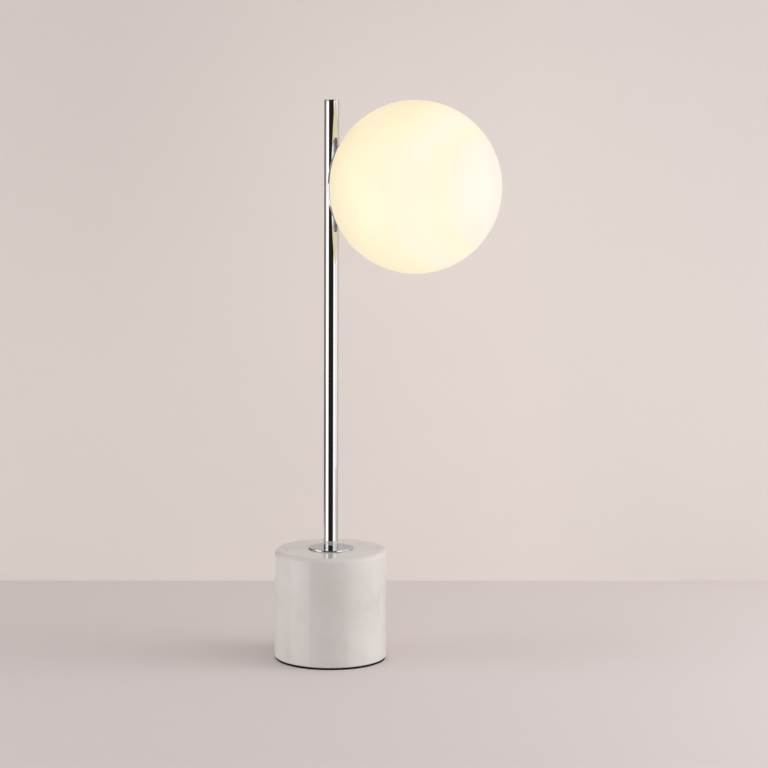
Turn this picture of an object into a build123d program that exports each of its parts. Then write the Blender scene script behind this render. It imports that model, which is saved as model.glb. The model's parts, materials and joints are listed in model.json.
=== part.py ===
"""Glass globe table lamp: an opal globe held at the side of a thin chrome pole that stands on a marble drum.

Millimetres, +Z up. The origin is the centre of the drum's foot on the table, and +X points from the pole to the
globe. The globe, its lamp holder and its bulb lie along the arm axis, which runs along +X at the globe's height.
"""

from build123d import *
from math import cos, radians, sin, sqrt
import os

os.makedirs("parts", exist_ok=True)

# Driving sizes of the visible form
overall_height = 500.0
globe_diameter = 150.0
globe_wall = 2.5
globe_opening_diameter = 85.0
globe_to_pole_gap = 1.0
pole_diameter = 13.0
pole_wall = 1.0
base_diameter = 101.0
marble_height = 98.0
marble_edge_radius = 5.0
marble_foot_chamfer = 0.8
pad_thickness = 1.7
collar_diameter = 40.0
collar_thickness = 1.2
collar_edge_radius = 0.5
cap_thickness = 1.2
cap_chamfer = 0.25
cap_plug_length = 6.0

# Clearances
thread_clearance = 0.05
running_clearance = 0.08
pass_clearance = 0.3
hole_clearance = 0.5

# Hollow threaded tube that ties the pole to the drum and the holder to the arm
lamp_thread_diameter = 10.0
lamp_thread_bore = 7.0
lamp_nut_across_flats = 14.0

# Tie under the drum
recess_diameter = 49.0
recess_depth = 24.0
foot_insert_length = 16.0
foot_insert_thread = 14.0
soft_washer_diameter = 26.0
soft_washer_thickness = 1.5
clamp_washer_diameter = 30.0
clamp_washer_thickness = 2.0
lock_washer_diameter = 17.0
lock_washer_thickness = 1.0
tie_nut_height = 4.0
thread_end = 2.0

# Mains terminals in the recess, and the cord's way out
block_length = 12.0
block_width = 16.0
block_height = 12.0
block_offset = 9.0
block_edge_radius = 0.8
terminal_spacing = 8.0
terminal_height = 5.0
terminal_tube_diameter = 4.0
terminal_tube_bore = 2.4
terminal_tube_length = 10.0
terminal_screw_spacing = 6.0
terminal_screw_diameter = 2.4
terminal_screw_sink = 1.0
screw_slot_width = 0.6
screw_slot_depth = 0.6
outlet_height = 12.0
outlet_hole_diameter = 10.0
outlet_bore_diameter = 7.0
grommet_flange_diameter = 13.0
grommet_flange_thickness = 1.5

# Arm and back plate
stub_diameter = 12.0
stub_bore_diameter = 8.0
stub_thread_depth = 8.0
plate_diameter = 82.0
plate_thickness = 2.0
plate_edge_radius = 1.2
gasket_thickness = 1.0
locknut_height = 3.0

# Spring clips that hold the globe
spring_count = 3
spring_width = 6.0
spring_thickness = 0.6
spring_foot_length = 9.0
spring_hook = 2.4
spring_rise = 3.6
spring_return_length = 5.0
spring_return_drop = 5.5
spring_bend_radius = 1.2
rivet_diameter = 3.0
rivet_head_diameter = 5.5
rivet_head_height = 1.2
rivet_from_foot = 3.8

# Lamp holder
holder_diameter = 27.0
holder_wall = 1.6
dome_length = 22.0
dome_floor = 3.0
dome_edge_radius = 3.0
skirt_length = 30.0
skirt_ledge = 2.0
skirt_ledge_bore = 20.0
skirt_edge_radius = 0.6
core_disc_thickness = 6.0
core_disc_lead = 4.0
core_tube_wall = 1.8
shell_wall = 0.4
shell_length = 23.0
shell_floor_gap = 1.0
contact_diameter = 7.0
contact_thickness = 0.8
contact_height = 3.3
contact_button_diameter = 4.0
post_diameter = 4.4
post_length = 4.5
post_bore_depth = 2.5
post_spacing = 13.0

# Bulb
bulb_length = 78.0
bulb_diameter = 45.0
bulb_wall = 1.5
bulb_mouth_diameter = 36.0
cap_crest_diameter = 13.9
cap_root_diameter = 13.0
cap_bore_diameter = 11.8
cap_pitch = 2.82
cap_thread_turns = 6
cap_collar = 1.2
tip_diameter = 4.8
tip_height = 1.2
tip_edge = 0.5
tip_pin_diameter = 2.0
tip_pin_length = 2.0
insulator_height = 3.6
housing_neck_diameter = 16.0
housing_wall = 1.5
board_thickness = 1.6

# Wires
wire_diameter = 1.9
wire_spacing = 2.6
wire_setback = 1.5
wire_bend_radius = 5.0
wire_spread_radius = 4.0
wire_entry_radius = 4.5
wire_insertion = 3.0
wire_entry_run = 5.5
wire_spread_run = 4.0
wire_straight_in_dome = 1.8

# Heights and offsets that follow from the sizes above
globe_radius = globe_diameter / 2
pole_radius = pole_diameter / 2
pole_bore_radius = pole_radius - pole_wall
base_radius = base_diameter / 2
marble_bottom = pad_thickness
marble_top = marble_bottom + marble_height
pole_foot = marble_top + collar_thickness
pole_top = overall_height - cap_thickness
arm_height = overall_height - globe_radius
globe_offset = pole_radius + globe_to_pole_gap + globe_radius
opening_radius = globe_opening_diameter / 2
glass_edge_x = globe_offset - sqrt(globe_radius**2 - opening_radius**2)
opening_inner_radius = sqrt((globe_radius - globe_wall) ** 2 - (globe_offset - glass_edge_x) ** 2)
plate_front_x = glass_edge_x - gasket_thickness
plate_back_x = plate_front_x - plate_thickness
plate_radius = plate_diameter / 2
holder_rear_x = plate_front_x + locknut_height
dome_front_x = holder_rear_x + dome_length
skirt_front_x = dome_front_x + skirt_length
core_floor_x = dome_front_x + core_disc_thickness - core_disc_lead
core_rear_x = core_floor_x - core_disc_thickness
bulb_tip_x = core_floor_x + contact_height
shell_radius = cap_crest_diameter / 2 + running_clearance
nipple_start_x = plate_back_x - stub_thread_depth
nipple_end_x = holder_rear_x + dome_floor + thread_end
thread_radius = lamp_thread_diameter / 2
thread_bore_radius = lamp_thread_bore / 2
recess_ceiling = marble_bottom + recess_depth
recess_radius = recess_diameter / 2

arm_axis = Axis((0, 0, arm_height), (1, 0, 0))
arm_section = Plane(origin=(0, 0, arm_height), x_dir=(1, 0, 0), z_dir=(0, -1, 0))


def arm_plane(x):
    """The plane square to the arm axis at x, facing the globe."""
    return Plane(origin=(x, 0, arm_height), x_dir=(0, 1, 0), z_dir=(1, 0, 0))


def outlet_plane(x):
    """The plane square to the cord outlet at x, facing away from the globe."""
    return Plane(origin=(x, 0, outlet_height), x_dir=(0, -1, 0), z_dir=(-1, 0, 0))


def disc(plane, radius, thickness, bore_radius=0.0, mode=Mode.ADD):
    """A round plate that stands on a plane, with a hole in its middle where one is given."""
    with BuildSketch(plane) as outline:
        Circle(radius)
        if bore_radius:
            Circle(bore_radius, mode=Mode.SUBTRACT)
    extrude(outline.sketch, amount=thickness, mode=mode)


def hex_nut(plane, across_flats, height, bore_radius):
    """A hexagon nut that stands on a plane."""
    with BuildSketch(plane) as outline:
        RegularPolygon(across_flats / 2, 6, major_radius=False)
        Circle(bore_radius, mode=Mode.SUBTRACT)
    extrude(outline.sketch, amount=height)


def turned(points):
    """A turned piece on the arm axis, from the corners of its half section as (x, radius)."""
    with BuildSketch(arm_section) as section:
        with BuildLine() as outline:
            Polyline(*points, close=True)
        make_face(outline.edges())
    revolve(section.sketch, axis=arm_axis)


def finish(piece, label):
    """Labels a sub-part and writes it."""
    piece.part.label = label
    export_step(piece.part, f"parts/{label}.step")


# --- Drum, its pad and the tie that clamps the pole to it ---

with BuildPart() as foot_pad:
    disc(Plane.XY, base_radius - marble_foot_chamfer, pad_thickness)
finish(foot_pad, "foot_pad")

with BuildPart() as marble_base:
    disc(Plane.XY.offset(marble_bottom), base_radius, marble_height)
    fillet(marble_base.edges().filter_by(GeomType.CIRCLE).sort_by(Axis.Z)[-1], marble_edge_radius)
    chamfer(marble_base.edges().filter_by(GeomType.CIRCLE).sort_by(Axis.Z)[0], marble_foot_chamfer)
    disc(Plane.XY.offset(marble_bottom), recess_radius, recess_depth, mode=Mode.SUBTRACT)
    disc(Plane.XY, thread_radius + hole_clearance, overall_height, mode=Mode.SUBTRACT)
    disc(outlet_plane(0), outlet_hole_diameter / 2, base_diameter, mode=Mode.SUBTRACT)
finish(marble_base, "marble_base")

with BuildPart() as cord_grommet:
    disc(
        outlet_plane(-recess_radius),
        grommet_flange_diameter / 2,
        base_radius - recess_radius + grommet_flange_thickness,
    )
    disc(Plane.XY, base_radius, arm_height, mode=Mode.SUBTRACT)
    disc(
        outlet_plane(-recess_radius),
        outlet_hole_diameter / 2 - thread_clearance,
        base_radius - recess_radius,
    )
    disc(outlet_plane(0), outlet_bore_diameter / 2, base_diameter, mode=Mode.SUBTRACT)
finish(cord_grommet, "cord_grommet")

with BuildPart() as collar_flange:
    disc(
        Plane.XY.offset(marble_top),
        collar_diameter / 2,
        collar_thickness,
        thread_radius + pass_clearance,
    )
    outer_rims = collar_flange.edges().filter_by(GeomType.CIRCLE).sort_by(SortBy.RADIUS)[-2:]
    fillet(outer_rims.sort_by(Axis.Z)[-1], min(collar_edge_radius, 0.45 * collar_thickness))
finish(collar_flange, "collar_flange")

soft_washer_z = recess_ceiling - soft_washer_thickness
with BuildPart() as soft_washer:
    disc(
        Plane.XY.offset(soft_washer_z),
        soft_washer_diameter / 2,
        soft_washer_thickness,
        thread_radius + pass_clearance,
    )
finish(soft_washer, "soft_washer")

clamp_washer_z = soft_washer_z - clamp_washer_thickness
with BuildPart() as clamp_washer:
    disc(
        Plane.XY.offset(clamp_washer_z),
        clamp_washer_diameter / 2,
        clamp_washer_thickness,
        thread_radius + pass_clearance,
    )
finish(clamp_washer, "clamp_washer")

lock_washer_z = clamp_washer_z - lock_washer_thickness
with BuildPart() as lock_washer:
    disc(
        Plane.XY.offset(lock_washer_z),
        lock_washer_diameter / 2,
        lock_washer_thickness,
        thread_radius + pass_clearance,
    )
finish(lock_washer, "lock_washer")

tie_nut_z = lock_washer_z - tie_nut_height
with BuildPart() as tie_nut:
    hex_nut(
        Plane.XY.offset(tie_nut_z),
        lamp_nut_across_flats,
        tie_nut_height,
        thread_radius + thread_clearance,
    )
finish(tie_nut, "tie_nut")

tie_rod_bottom = tie_nut_z - thread_end
with BuildPart() as tie_rod:
    disc(
        Plane.XY.offset(tie_rod_bottom),
        thread_radius,
        pole_foot + foot_insert_thread - tie_rod_bottom,
        thread_bore_radius,
    )
finish(tie_rod, "tie_rod")

# --- Mains terminals in the recess ---

block_front_x = -block_offset
block_centre_x = block_front_x - block_length / 2
terminal_z = pad_thickness + terminal_height
terminal_sides = [-terminal_spacing / 2, terminal_spacing / 2]
terminal_plane = Plane(origin=(block_front_x, 0, terminal_z), x_dir=(0, -1, 0), z_dir=(-1, 0, 0))
block_top_plane = Plane(origin=(block_centre_x, 0, pad_thickness + block_height))
screw_bottom_z = terminal_z + terminal_tube_diameter / 2
screw_length = pad_thickness + block_height - terminal_screw_sink - screw_bottom_z
screw_hole_radius = terminal_screw_diameter / 2 + thread_clearance

with BuildPart() as terminal_block:
    with BuildSketch(Plane(origin=(block_centre_x, 0, pad_thickness))):
        RectangleRounded(block_length, block_width, block_edge_radius)
    extrude(amount=block_height)
    with BuildSketch(terminal_plane):
        with GridLocations(terminal_spacing, 0, 2, 1):
            Circle(terminal_tube_diameter / 2 + thread_clearance)
    extrude(amount=block_length, mode=Mode.SUBTRACT)
    with BuildSketch(block_top_plane):
        with GridLocations(terminal_screw_spacing, terminal_spacing, 2, 2):
            Circle(screw_hole_radius)
    extrude(amount=terminal_z - pad_thickness - block_height, mode=Mode.SUBTRACT)
finish(terminal_block, "terminal_block")

for number, side in enumerate(terminal_sides, 1):
    tube_start_x = block_centre_x + terminal_tube_length / 2
    with BuildPart() as terminal_tube:
        disc(
            Plane(origin=(tube_start_x, side, terminal_z), x_dir=(0, -1, 0), z_dir=(-1, 0, 0)),
            terminal_tube_diameter / 2,
            terminal_tube_length,
            terminal_tube_bore / 2,
        )
    finish(terminal_tube, f"terminal_tube_{number}")

screw_places = [(end, side) for side in terminal_sides for end in (-1, 1)]
for number, (end, side) in enumerate(screw_places, 1):
    screw_x = block_centre_x + end * terminal_screw_spacing / 2
    with BuildPart() as terminal_screw:
        disc(
            Plane(origin=(screw_x, side, screw_bottom_z)),
            terminal_screw_diameter / 2,
            screw_length,
        )
        with BuildSketch(Plane(origin=(screw_x, side, screw_bottom_z + screw_length))):
            Rectangle(terminal_screw_diameter, screw_slot_width)
        extrude(amount=-screw_slot_depth, mode=Mode.SUBTRACT)
    finish(terminal_screw, f"terminal_screw_{number}")

# --- Pole ---

with BuildPart() as pole_tube:
    disc(Plane.XY.offset(pole_foot), pole_radius, pole_top - pole_foot, pole_bore_radius)
    disc(arm_plane(0), stub_bore_diameter / 2, pole_diameter, mode=Mode.SUBTRACT)
finish(pole_tube, "pole_tube")

with BuildPart() as pole_foot_insert:
    disc(
        Plane.XY.offset(pole_foot),
        pole_bore_radius,
        foot_insert_length,
        thread_radius + thread_clearance,
    )
finish(pole_foot_insert, "pole_foot_insert")

with BuildPart() as pole_top_cap:
    disc(Plane.XY.offset(pole_top), pole_radius, cap_thickness)
    chamfer(pole_top_cap.edges().sort_by(Axis.Z)[-1], cap_chamfer)
    disc(Plane.XY.offset(pole_top), pole_bore_radius, -cap_plug_length)
finish(pole_top_cap, "pole_top_cap")

# --- Arm stub, back plate and its gasket ---

with BuildPart() as arm_stub:
    disc(arm_plane(0), stub_diameter / 2, plate_back_x)
    disc(Plane.XY, pole_radius, overall_height, mode=Mode.SUBTRACT)
    disc(arm_plane(0), stub_bore_diameter / 2, plate_back_x, mode=Mode.SUBTRACT)
    disc(
        arm_plane(nipple_start_x),
        thread_radius + thread_clearance,
        stub_thread_depth,
        mode=Mode.SUBTRACT,
    )
finish(arm_stub, "arm_stub")

# The hook of each clip reaches past the neck of the glass by spring_hook, behind its ground edge.
spring_foot_x = plate_front_x + spring_thickness / 2
spring_crown_x = glass_edge_x + spring_rise
spring_slope = spring_hook / spring_rise
spring_outer_r = sqrt((opening_inner_radius - pass_clearance) ** 2 - (spring_width / 2) ** 2)
spring_neck_r = spring_outer_r - spring_thickness / 2 * sqrt(1 + spring_slope**2)
spring_bend_r = spring_neck_r - spring_slope * (glass_edge_x - spring_foot_x)
spring_foot_r = spring_bend_r - spring_foot_length
spring_crown_r = spring_neck_r + spring_hook
rivet_r = spring_foot_r + rivet_from_foot
spring_angles = [90 + 360 / spring_count * turn for turn in range(spring_count)]


def radial_plane(angle):
    """The plane through the arm axis whose first axis is +X and whose second points outward at an angle."""
    outward = (0, cos(radians(angle)), sin(radians(angle)))
    return Plane(
        origin=(0, 0, arm_height),
        x_dir=(1, 0, 0),
        z_dir=Vector(1, 0, 0).cross(Vector(*outward)),
    )


with BuildPart() as globe_back_plate:
    disc(arm_plane(plate_back_x), plate_radius, plate_thickness)
    fillet(globe_back_plate.edges().sort_by(Axis.X)[0], min(plate_edge_radius, 0.9 * plate_thickness))
    disc(arm_plane(plate_back_x), thread_radius + pass_clearance, plate_thickness, mode=Mode.SUBTRACT)
    with BuildSketch(arm_plane(plate_back_x)):
        with PolarLocations(rivet_r, spring_count, start_angle=spring_angles[0]):
            Circle(rivet_diameter / 2 + thread_clearance)
    extrude(amount=plate_thickness, mode=Mode.SUBTRACT)
finish(globe_back_plate, "globe_back_plate")

with BuildPart() as plate_gasket:
    disc(
        arm_plane(plate_front_x),
        (plate_radius + opening_radius) / 2,
        gasket_thickness,
        opening_inner_radius,
    )
finish(plate_gasket, "plate_gasket")

for number, angle in enumerate(spring_angles, 1):
    with BuildPart() as globe_spring:
        with BuildSketch(radial_plane(angle)) as strip:
            with BuildLine() as bends:
                FilletPolyline(
                    (spring_foot_x, spring_foot_r),
                    (spring_foot_x, spring_bend_r),
                    (spring_crown_x, spring_crown_r),
                    (spring_crown_x + spring_return_length, spring_crown_r - spring_return_drop),
                    radius=spring_bend_radius,
                )
            trace(bends.edges(), line_width=spring_thickness)
        extrude(amount=spring_width / 2, both=True)
        rivet_place = radial_plane(angle).from_local_coords((plate_front_x, rivet_r, 0))
        disc(
            Plane(origin=rivet_place, x_dir=(0, 1, 0), z_dir=(1, 0, 0)),
            rivet_diameter / 2 + thread_clearance,
            spring_thickness,
            mode=Mode.SUBTRACT,
        )
    finish(globe_spring, f"globe_spring_{number}")

    rivet_back = radial_plane(angle).from_local_coords((plate_back_x, rivet_r, 0))
    rivet_seat = radial_plane(angle).from_local_coords((plate_front_x + spring_thickness, rivet_r, 0))
    with BuildPart() as spring_rivet:
        disc(
            Plane(origin=rivet_back, x_dir=(0, 1, 0), z_dir=(1, 0, 0)),
            rivet_diameter / 2,
            plate_thickness + spring_thickness,
        )
        disc(
            Plane(origin=rivet_seat, x_dir=(0, 1, 0), z_dir=(1, 0, 0)),
            rivet_head_diameter / 2,
            rivet_head_height,
        )
        fillet(spring_rivet.edges().sort_by(Axis.X)[-1], 0.7 * rivet_head_height)
    finish(spring_rivet, f"spring_rivet_{number}")

with BuildPart() as holder_nipple:
    disc(
        arm_plane(nipple_start_x),
        thread_radius,
        nipple_end_x - nipple_start_x,
        thread_bore_radius,
    )
finish(holder_nipple, "holder_nipple")

with BuildPart() as nipple_locknut:
    hex_nut(
        arm_plane(plate_front_x),
        lamp_nut_across_flats,
        locknut_height,
        thread_radius + thread_clearance,
    )
finish(nipple_locknut, "nipple_locknut")

# --- Lamp holder ---

holder_radius = holder_diameter / 2
holder_bore_radius = holder_radius - holder_wall
core_tube_radius = shell_radius + shell_wall + core_tube_wall
core_disc_radius = holder_bore_radius - pass_clearance
post_sides = [-post_spacing / 2, post_spacing / 2]

with BuildPart() as holder_dome:
    disc(arm_plane(holder_rear_x), holder_radius, dome_length)
    fillet(holder_dome.edges().sort_by(Axis.X)[0], dome_edge_radius)
    disc(
        arm_plane(holder_rear_x + dome_floor),
        holder_bore_radius,
        dome_length - dome_floor,
        mode=Mode.SUBTRACT,
    )
    disc(arm_plane(holder_rear_x), thread_radius + thread_clearance, dome_floor, mode=Mode.SUBTRACT)
finish(holder_dome, "holder_dome")

with BuildPart() as holder_skirt:
    disc(arm_plane(dome_front_x), holder_radius, skirt_length, holder_bore_radius)
    fillet(
        holder_skirt.edges().filter_by(GeomType.CIRCLE).group_by(Axis.X)[-1],
        min(skirt_edge_radius, 0.4 * holder_wall),
    )
    disc(arm_plane(core_floor_x), holder_bore_radius, skirt_ledge, skirt_ledge_bore / 2)
finish(holder_skirt, "holder_skirt")

with BuildPart() as holder_core:
    disc(arm_plane(core_rear_x), core_disc_radius, core_disc_thickness)
    disc(
        arm_plane(core_floor_x),
        core_tube_radius,
        shell_floor_gap + shell_length,
        shell_radius + shell_wall,
    )
finish(holder_core, "holder_core")

with BuildPart() as screw_shell:
    disc(
        arm_plane(core_floor_x + shell_floor_gap),
        shell_radius + shell_wall,
        shell_length,
        shell_radius,
    )
finish(screw_shell, "screw_shell")

with BuildPart() as centre_contact:
    disc(arm_plane(core_floor_x), contact_diameter / 2, contact_thickness)
    disc(arm_plane(core_floor_x), contact_button_diameter / 2, contact_height)
finish(centre_contact, "centre_contact")

for number, side in enumerate(post_sides, 1):
    post_plane = Plane(origin=(core_rear_x, side, arm_height), x_dir=(0, -1, 0), z_dir=(-1, 0, 0))
    with BuildPart() as holder_terminal:
        disc(post_plane, post_diameter / 2, post_length)
        disc(
            post_plane.offset(post_length),
            wire_diameter / 2 + thread_clearance,
            -post_bore_depth,
            mode=Mode.SUBTRACT,
        )
    finish(holder_terminal, f"holder_terminal_{number}")

# --- Wires from the mains terminals up the pole and along the arm to the holder ---

wire_corner_z = tie_rod_bottom - pass_clearance - wire_diameter / 2
wire_turn_x = block_front_x + wire_entry_run
wire_spread_x = nipple_end_x + wire_straight_in_dome
post_mouth_x = core_rear_x - post_length
wire_ends = {
    "neutral_wire": (terminal_sides[0], -wire_spacing / 2, post_sides[0]),
    "live_wire": (terminal_sides[1], wire_spacing / 2, post_sides[1]),
}
for label, (block_y, pole_y, post_y) in wire_ends.items():
    with BuildPart() as lamp_wire:
        with BuildLine() as route:
            FilletPolyline(
                (block_front_x - wire_insertion, block_y, terminal_z),
                (wire_turn_x, block_y, terminal_z),
                (-wire_setback, pole_y, wire_corner_z),
                (-wire_setback, pole_y, arm_height),
                (wire_spread_x, pole_y, arm_height),
                (wire_spread_x + wire_spread_run, post_y, arm_height),
                (post_mouth_x + post_bore_depth, post_y, arm_height),
                radius=[
                    wire_entry_radius,
                    wire_bend_radius,
                    wire_bend_radius,
                    wire_spread_radius,
                    wire_spread_radius,
                ],
            )
        with BuildSketch(Plane(origin=route.line @ 0, z_dir=route.line % 0)):
            Circle(wire_diameter / 2)
        sweep(path=route.line)
    finish(lamp_wire, label)

# --- Globe ---

with BuildPart() as glass_globe:
    with BuildSketch(arm_section):
        with Locations((globe_offset, 0)):
            Circle(globe_radius)
            Circle(globe_radius - globe_wall, mode=Mode.SUBTRACT)
        with Locations((glass_edge_x, 0)):
            Rectangle(globe_diameter, globe_diameter, align=(Align.MAX, Align.CENTER), mode=Mode.SUBTRACT)
        with Locations((globe_offset, 0)):
            Rectangle(globe_diameter, globe_radius, align=(Align.CENTER, Align.MAX), mode=Mode.SUBTRACT)
    revolve(axis=arm_axis)
finish(glass_globe, "glass_globe")

# --- Bulb ---

bulb_radius = bulb_diameter / 2
bulb_centre_x = bulb_tip_x + bulb_length - bulb_radius
bulb_mouth_radius = bulb_mouth_diameter / 2
bulb_mouth_x = bulb_centre_x - sqrt(bulb_radius**2 - bulb_mouth_radius**2)
insulator_x = bulb_tip_x + tip_height
thread_start_x = insulator_x + insulator_height
thread_end_x = thread_start_x + cap_pitch * cap_thread_turns
cap_end_x = thread_end_x + cap_collar
cap_crest_radius = cap_crest_diameter / 2
cap_root_radius = cap_root_diameter / 2
cap_bore_radius = cap_bore_diameter / 2
housing_neck_radius = housing_neck_diameter / 2

with BuildPart() as bulb_tip_contact:
    disc(arm_plane(bulb_tip_x), tip_diameter / 2, tip_height)
    chamfer(bulb_tip_contact.edges().sort_by(Axis.X)[0], tip_edge)
    disc(arm_plane(insulator_x), tip_pin_diameter / 2, tip_pin_length)
finish(bulb_tip_contact, "bulb_tip_contact")

with BuildPart() as bulb_insulator:
    turned(
        [
            (insulator_x, 0),
            (insulator_x, tip_diameter / 2 + tip_edge),
            (thread_start_x, cap_bore_radius),
            (thread_start_x + cap_pitch, cap_bore_radius),
            (thread_start_x + cap_pitch, 0),
        ]
    )
    disc(
        arm_plane(insulator_x),
        tip_pin_diameter / 2 + running_clearance,
        tip_pin_length + pass_clearance,
        mode=Mode.SUBTRACT,
    )
finish(bulb_insulator, "bulb_insulator")

# The rolled thread is drawn as one ridge for each turn.
ridge_corners = []
for turn in range(cap_thread_turns):
    ridge_x = thread_start_x + cap_pitch * turn
    ridge_corners += [
        (ridge_x, cap_root_radius),
        (ridge_x + cap_pitch * 0.35, cap_crest_radius),
        (ridge_x + cap_pitch * 0.65, cap_crest_radius),
    ]

with BuildPart() as bulb_screw_cap:
    turned(
        [(thread_start_x, cap_bore_radius)]
        + ridge_corners
        + [
            (thread_end_x, cap_root_radius),
            (cap_end_x, cap_root_radius),
            (cap_end_x, cap_bore_radius),
        ]
    )
finish(bulb_screw_cap, "bulb_screw_cap")

board_back_x = bulb_mouth_x - board_thickness
with BuildPart() as bulb_housing:
    turned(
        [
            (cap_end_x - cap_pitch, 0),
            (cap_end_x - cap_pitch, cap_bore_radius),
            (cap_end_x, cap_bore_radius),
            (cap_end_x, housing_neck_radius),
            (cap_end_x + housing_wall, housing_neck_radius),
            (bulb_mouth_x, bulb_mouth_radius),
            (bulb_mouth_x, bulb_mouth_radius - housing_wall),
            (board_back_x, bulb_mouth_radius - housing_wall),
            (board_back_x, bulb_mouth_radius - 2 * housing_wall),
            (cap_end_x + 2 * housing_wall, housing_neck_radius - housing_wall),
            (cap_end_x + 2 * housing_wall, 0),
        ]
    )
finish(bulb_housing, "bulb_housing")

with BuildPart() as bulb_led_board:
    disc(
        arm_plane(board_back_x),
        bulb_mouth_radius - housing_wall - thread_clearance,
        board_thickness,
    )
finish(bulb_led_board, "bulb_led_board")

with BuildPart() as bulb_diffuser:
    with BuildSketch(arm_section):
        with Locations((bulb_centre_x, 0)):
            Circle(bulb_radius)
            Circle(bulb_radius - bulb_wall, mode=Mode.SUBTRACT)
        with Locations((bulb_mouth_x, 0)):
            Rectangle(bulb_diameter, bulb_diameter, align=(Align.MAX, Align.CENTER), mode=Mode.SUBTRACT)
        with Locations((bulb_centre_x, 0)):
            Rectangle(bulb_diameter, bulb_radius, align=(Align.CENTER, Align.MAX), mode=Mode.SUBTRACT)
    revolve(axis=arm_axis)
finish(bulb_diffuser, "bulb_diffuser")
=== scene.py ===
"""Looks of the glass globe table lamp: finishes, finely turned pieces, studio light and camera."""

import bpy
import json
import numpy as np
from math import cos, pi, radians, sin, sqrt
from mathutils import Matrix, Vector


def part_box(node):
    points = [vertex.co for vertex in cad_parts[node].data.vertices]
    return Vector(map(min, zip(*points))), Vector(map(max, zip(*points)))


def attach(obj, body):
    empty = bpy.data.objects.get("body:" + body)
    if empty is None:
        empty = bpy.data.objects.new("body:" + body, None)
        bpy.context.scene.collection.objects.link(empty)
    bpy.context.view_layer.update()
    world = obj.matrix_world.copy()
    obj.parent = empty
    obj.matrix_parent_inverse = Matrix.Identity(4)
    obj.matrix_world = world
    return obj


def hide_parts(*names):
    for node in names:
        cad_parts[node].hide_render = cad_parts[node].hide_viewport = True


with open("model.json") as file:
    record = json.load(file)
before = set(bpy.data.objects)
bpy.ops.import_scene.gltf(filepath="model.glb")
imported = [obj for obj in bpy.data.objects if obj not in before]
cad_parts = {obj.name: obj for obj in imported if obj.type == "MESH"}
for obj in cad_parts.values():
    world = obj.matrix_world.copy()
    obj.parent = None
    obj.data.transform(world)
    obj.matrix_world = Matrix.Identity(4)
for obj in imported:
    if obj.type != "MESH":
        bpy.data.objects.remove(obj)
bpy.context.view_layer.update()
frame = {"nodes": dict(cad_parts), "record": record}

MM = 0.001
ALONG_X, ACROSS, UPWARD = 0, 1, 2


def low(node, axis):
    """The lowest coordinate of a node along an axis."""
    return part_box(node)[0][axis]


def high(node, axis):
    """The highest coordinate of a node along an axis."""
    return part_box(node)[1][axis]


def ends(node, axis):
    """The lowest and the highest coordinate of a node along an axis."""
    return low(node, axis), high(node, axis)


def middle(node, axis):
    """The middle of a node along an axis."""
    return (low(node, axis) + high(node, axis)) / 2


def half(node, axis):
    """Half of a node's extent along an axis: the radius of a round piece."""
    return (high(node, axis) - low(node, axis)) / 2


arm_height = middle("glass_globe", UPWARD)
globe_radius = half("glass_globe", UPWARD)
globe_centre = high("glass_globe", ALONG_X) - globe_radius
glass_edge = low("glass_globe", ALONG_X)
pole_radius = half("pole_tube", ALONG_X)
drum_radius = half("marble_base", ALONG_X)
bulb_radius = half("bulb_diffuser", UPWARD)
bulb_centre = high("bulb_diffuser", ALONG_X) - bulb_radius
UP = Vector((0, 0, 1))

# --- Surfaces ---

CREASE = radians(32)
SUPPORT = 0.3 * MM
MOST_OF_SIDE = 0.25
TINY = 1e-9
# An open outline starts and ends this far from its axis, and a flat cap closes it there.
HUB = 1.0 * MM
FINE_HUB = 0.1 * MM


def skin(name, rows, looped):
    """A closed skin over a grid of points. Columns run round, and rows run round or end in flat caps.

    A cap is a fan about the mean of its row. The signed volume, the sum over the faces of
    corner dot (corner cross corner) / 6, tells which way the faces point, and they are turned outwards.
    """
    count, steps = rows.shape[:2]
    verts = rows.reshape(-1, 3)
    first = np.arange(count if looped else count - 1)[:, None] * steps
    second = (first + steps) % (count * steps)
    now = np.arange(steps)
    then = (now + 1) % steps
    quads = np.stack([first + now, first + then, second + then, second + now], 2).reshape(-1, 4)
    tris = np.zeros((0, 3), int)
    if not looped:
        last = (count - 1) * steps
        start_fan = np.stack([then, now, np.full(steps, len(verts))], 1)
        end_fan = np.stack([last + now, last + then, np.full(steps, len(verts) + 1)], 1)
        tris = np.vstack([start_fan, end_fan])
        verts = np.vstack([verts, rows[0].mean(0), rows[-1].mean(0)])
    halves = np.vstack([quads[:, [0, 1, 2]], quads[:, [0, 2, 3]], tris])
    a, b, c = (verts[halves[:, k]] for k in range(3))
    if np.einsum("ij,ij->i", a, np.cross(b, c)).sum() < 0:
        quads, tris = quads[:, ::-1], tris[:, ::-1]
    mesh = bpy.data.meshes.new(name)
    mesh.from_pydata(verts.tolist(), [], quads.tolist() + tris.tolist())
    mesh.polygons.foreach_set("use_smooth", np.ones(len(mesh.polygons), bool))
    mesh.set_sharp_from_angle(angle=CREASE)
    mesh.update()
    piece = bpy.data.objects.new(name, mesh)
    bpy.context.scene.collection.objects.link(piece)
    return piece


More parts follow.
